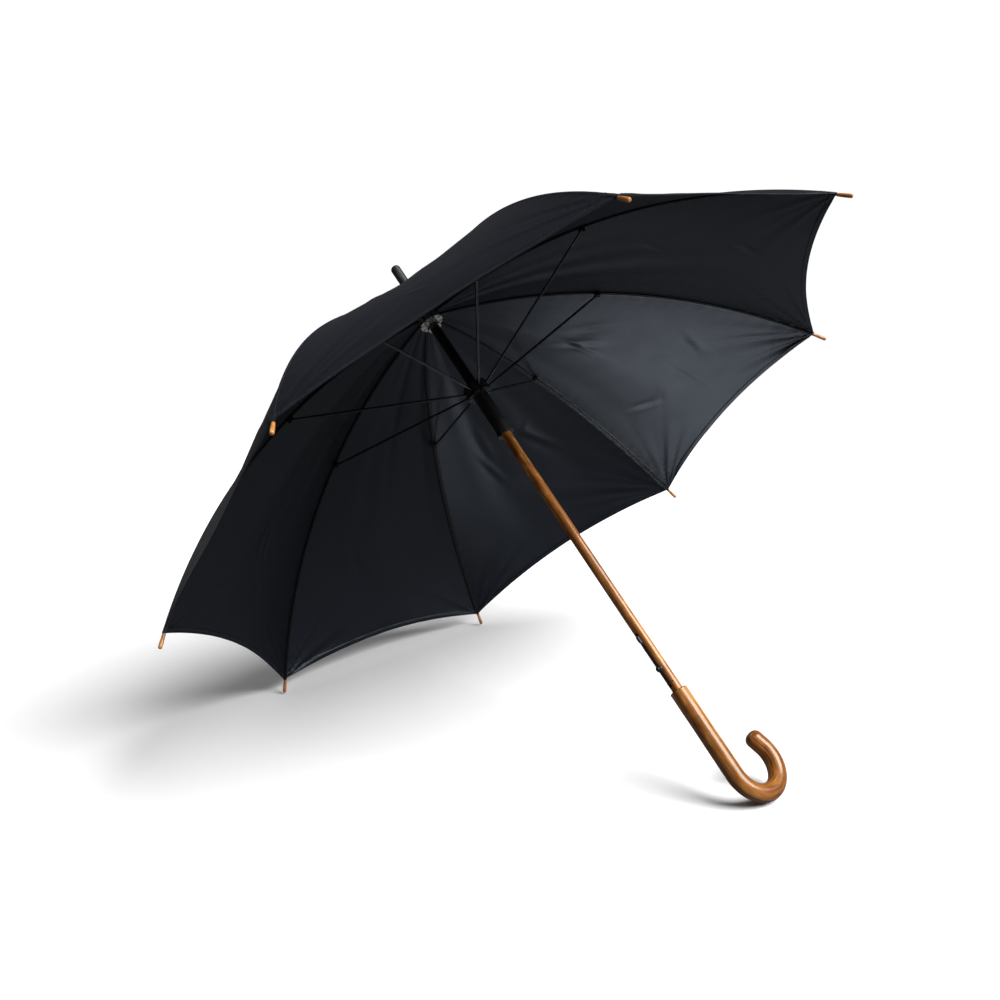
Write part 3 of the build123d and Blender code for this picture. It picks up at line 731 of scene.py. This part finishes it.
def sew(name, rows):
    """A mesh of stitches along rows of points."""
    curve = bpy.data.curves.new(name, "CURVE")
    curve.dimensions = "3D"
    for row in rows:
        spline = curve.splines.new("POLY")
        spline.points.add(len(row) - 1)
        spline.points.foreach_set("co", np.column_stack([row, np.ones(len(row))]).ravel())
    path = bpy.data.objects.new(name, curve)
    bpy.context.scene.collection.objects.link(path)
    modifier = path.modifiers.new("stitches", "NODES")
    modifier.node_group = stitches
    modifier[stitch_sockets["Pitch"]] = STITCH_PITCH
    modifier[stitch_sockets["Stitch Length"]] = STITCH_LENGTH
    modifier[stitch_sockets["Thread Radius"]] = THREAD_RADIUS
    bpy.context.view_layer.update()
    evaluated = path.evaluated_get(bpy.context.evaluated_depsgraph_get())
    mesh = bpy.data.meshes.new_from_object(evaluated)
    bpy.data.objects.remove(path)
    mesh.polygons.foreach_set("use_smooth", [True] * len(mesh.polygons))
    sewn = bpy.data.objects.new(name, mesh)
    bpy.context.scene.collection.objects.link(sewn)
    return sewn


def beside_rib(grid, lateral, distance):
    """The line of points on a grid at this lateral distance from its rib."""
    line = []
    for points, places in zip(grid, lateral):
        order = np.argsort(places)
        if places.max() < abs(distance) * 1.05:
            continue
        line.append([np.interp(distance, places[order], points[order, axis]) for axis in range(3)])
    return np.array(line)


HEM_ROW = 3                  # the row of the gores' points that the hem's stitches follow
for number, (petal, area) in enumerate(petals):
    lateral = petal_lateral(number)
    outer, inner = petal_grid(number, "outer"), petal_grid(number, "inner")
    rows = [outer[HEM_ROW], inner[HEM_ROW]]
    rows += [beside_rib(outer, lateral, side * SEAM_STITCH) for side in (-1, 1)]
    sewing = sew(f"canopy_stitching_{number + 1}", rows)
    gather(petal, number)
    gather(sewing, number)


# ---------------------------------------------------------------- tie strap
# A doubled strip of the canopy's cloth with a stitched edge, sewn into the first seam. It lies
# flat along the outside of the gore until it is wrapped round the closed umbrella and snapped.

STRAP_LENGTH = 0.150
STRAP_LOW, STRAP_HIGH = 0.0425, 0.0605      # distances from the hem
STRAP_THICKNESS = 0.0009
STRAP_ROWS = 40              # the rows of the gore's points that reach past the strap
SNAP_AROUND = 32
gore = gores[0]


def on_gore(distance, lateral):
    """A point on the first gore's outer side and its normal."""
    found = []
    for key in ("outer", "outer_normal"):
        crossed = np.array([
            [np.interp(lateral, places, points[:, axis]) for axis in range(3)]
            for places, points in zip(gore["lateral"][:STRAP_ROWS], gore[key][:STRAP_ROWS])
        ])
        rows = hem_rows[:STRAP_ROWS]
        found.append(np.array([np.interp(distance, rows, crossed[:, axis]) for axis in range(3)]))
    return found[0], found[1] / np.linalg.norm(found[1])


strap_along = np.linspace(0.0005, STRAP_LENGTH, 56)
strap_over = np.linspace(STRAP_LOW, STRAP_HIGH, 13)
top = np.zeros((len(strap_over), len(strap_along), 3))
bottom = np.zeros_like(top)
strap_map = np.zeros((len(strap_over), len(strap_along), 2))
for row, distance in enumerate(strap_over):
    for column, lateral in enumerate(strap_along):
        point, normal = on_gore(distance, lateral)
        edge = min(distance - STRAP_LOW, STRAP_HIGH - distance, STRAP_LENGTH - lateral)
        swell = 1 - 0.55 * np.exp(-edge / 0.0006) - 0.18 * np.exp(-(((edge - 0.0022) / 0.0007) ** 2))
        wave = 0.0004 + 0.0004 * sin(lateral * 55) ** 2
        bottom[row, column] = point + normal * wave
        top[row, column] = point + normal * (wave + STRAP_THICKNESS * swell)
        strap_map[row, column] = (distance, lateral)
strap = shell(
    "tie_strap_cloth", top, bottom, surface_normals(top), -surface_normals(bottom), strap_map, polyester,
)
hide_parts("tie_strap")
edge_rows = [top[2, :-2], top[-3, :-2], top[2:-2, -3]]
strap_sewing = sew("tie_strap_stitching", edge_rows)
gather(strap, 0)
gather(strap_sewing, 0)

SNAP_FROM_END = 0.010
snap_point, snap_normal = on_gore((STRAP_LOW + STRAP_HIGH) / 2, STRAP_LENGTH - SNAP_FROM_END)
snap_profile = [(0, 0.0), (0.0052, 0.0), (0.0055, 0.0004), (0.0054, 0.0009), (0.0046, 0.0013),
                (0.0040, 0.0011), (0.0032, 0.0013), (0.0018, 0.0017), (0, 0.0018)]
spin = Vector(snap_normal).to_track_quat("Z", "X").to_matrix()
foot = Vector(snap_point) + Vector(snap_normal) * STRAP_THICKNESS
corners = [foot]
for radius, height in snap_profile[1:-1]:
    for step in range(SNAP_AROUND):
        turn = 2 * pi * step / SNAP_AROUND
        corners.append(foot + spin @ Vector((radius * cos(turn), radius * sin(turn), height)))
corners.append(foot + spin @ Vector((0, 0, snap_profile[-1][1])))
faces = []
rings = len(snap_profile) - 2
for step in range(SNAP_AROUND):
    after = (step + 1) % SNAP_AROUND
    faces.append((0, 1 + after, 1 + step))
    for ring in range(rings - 1):
        a = 1 + ring * SNAP_AROUND
        faces.append((a + step, a + after, a + SNAP_AROUND + after, a + SNAP_AROUND + step))
    a = 1 + (rings - 1) * SNAP_AROUND
    faces.append((a + step, a + after, len(corners) - 1))
snap_plate = plated_metal("snap plate", (0.60, 0.60, 0.60), 0.18, 0.36, 300.0)
snap = new_piece("snap_stud", corners, faces, snap_plate)
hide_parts("strap_snap")
gather(snap, 0)


# ---------------------------------------------------------------- floor, light and camera
# The umbrella lies open on a pale floor, resting on two rib tips and the bend of its crook, so
# the floor is tilted in the umbrella's upright frame. It is a small sheet, seen only from above,
# and a weak lamp shines up through it on to the inside of the cloth.

LEAN = radians(46.72)        # between the shaft and the floor's normal
REST_TIPS_Y = RIM_RADIUS * sin(1.5 * STEP)
TIP_THICKNESS = 0.0026
floor_up = Vector((0, -sin(LEAN), cos(LEAN)))
floor_point = Vector((0, REST_TIPS_Y, RIM_HEIGHT)) - floor_up * TIP_THICKNESS
floor_turn = Matrix.Rotation(LEAN, 4, "X")
FLOOR_SIZE = 3.6
half = FLOOR_SIZE / 2
floor_corners = []
for x, y in ((-half, -half), (half, -half), (half, half), (-half, half)):
    floor_corners.append(floor_point + floor_turn.to_3x3() @ Vector((x, y, 0)))
floor_paint, tree, surface = new_finish("pale floor", {"Roughness": 0.6, "Specular IOR Level": 0.25})
place = add_node(tree, "ShaderNodeTexCoord").outputs["Object"]
patches = speckle(tree, place, 3.0, 3.0)
tone = colour_steps(tree, patches, [(0.3, (0.83, 0.83, 0.83)), (0.7, (0.86, 0.86, 0.86))])
looked_at = add_node(tree, "ShaderNodeLightPath").outputs["Is Camera Ray"]
BOUNCE_GREY = (0.12, 0.12, 0.125, 1)        # what the floor gives back to the cloth above it
quiet = add_node(tree, "ShaderNodeMix", {0: looked_at, 6: BOUNCE_GREY, 7: tone}, data_type="RGBA")
tree.links.new(quiet.outputs[2], surface.inputs["Base Color"])
below = add_node(tree, "ShaderNodeNewGeometry").outputs["Backfacing"]
clear = add_node(tree, "ShaderNodeBsdfTransparent").outputs[0]
mix = add_node(tree, "ShaderNodeMixShader", {0: below, 1: surface.outputs[0], 2: clear})
tree.links.new(mix.outputs[0], tree.nodes["Material Output"].inputs["Surface"])
floor = new_piece("studio_floor", floor_corners, [(0, 1, 2, 3)], floor_paint)
floor.visible_shadow = False

ROOM_LIGHT = 0.08            # how strongly the room lights the umbrella
BACKDROP_LIGHT = 1.02        # how bright the backdrop looks
world = bpy.data.worlds.new("studio")
bpy.context.scene.world = world
world.use_nodes = True
world_tree = world.node_tree
backdrop = world_tree.nodes["Background"]
backdrop.inputs["Color"].default_value = (1, 1, 1, 1)
seen = add_node(world_tree, "ShaderNodeLightPath").outputs["Is Camera Ray"]
strength = spread(world_tree, seen, ROOM_LIGHT, BACKDROP_LIGHT)
world_tree.links.new(strength, backdrop.inputs["Strength"])


def lamp(name, kind, energy, at, towards, size, cone=0.0):
    """A lamp; size is a sun's angle or a spot's radius, and cone is a spot's opening."""
    light = bpy.data.lights.new(name, kind)
    light.energy = energy
    if kind == "SUN":
        light.angle = size
    else:
        light.shadow_soft_size = size
        light.spot_size = cone
        light.spot_blend = 0.6
    holder = bpy.data.objects.new(name, light)
    bpy.context.scene.collection.objects.link(holder)
    holder.location = at
    holder.rotation_euler = (towards - at).to_track_quat("-Z", "Y").to_euler()


CAMERA_AT = Vector((-1.0360, -0.9613, -0.0170))
CAMERA_AIM = Vector((-0.0273, 0.0503, 0.5026))
CAMERA_ROLL = radians(1.04)
CAMERA_LENS = 41.29
CAMERA_SENSOR = 36.0
forward = (CAMERA_AIM - CAMERA_AT).normalized()
right = forward.cross(floor_up).normalized()
up = right.cross(forward)
turned_up = up * cos(CAMERA_ROLL) + right * sin(CAMERA_ROLL)
turned_right = forward.cross(turned_up)
middle = Vector((0, 0, 0.5))
away = floor_up.cross(right)
lamp("overhead softbox", "SUN", 0.55, middle + floor_up * 3 - away * 0.6, middle, radians(75))
lamp("side softbox", "SUN", 6.4, middle + floor_up * 2.2 + right * 1.9 - away * 0.7, middle, radians(42))
glowing_gore = Vector((0.36, 0, 0.64))
under_light = glowing_gore - floor_up * 1.07 - right * 0.06 - away * 0.54
lamp("under light", "SPOT", 27.0, under_light, glowing_gore, 0.20, radians(36))

camera_data = bpy.data.cameras.new("camera")
camera_data.lens = CAMERA_LENS
camera_data.sensor_width = CAMERA_SENSOR
camera = bpy.data.objects.new("camera", camera_data)
bpy.context.scene.collection.objects.link(camera)
camera.matrix_world = Matrix((
    (turned_right.x, turned_up.x, -forward.x, CAMERA_AT.x),
    (turned_right.y, turned_up.y, -forward.y, CAMERA_AT.y),
    (turned_right.z, turned_up.z, -forward.z, CAMERA_AT.z),
    (0, 0, 0, 1),
))
bpy.context.scene.camera = camera
bpy.context.scene.view_settings.view_transform = "Standard"
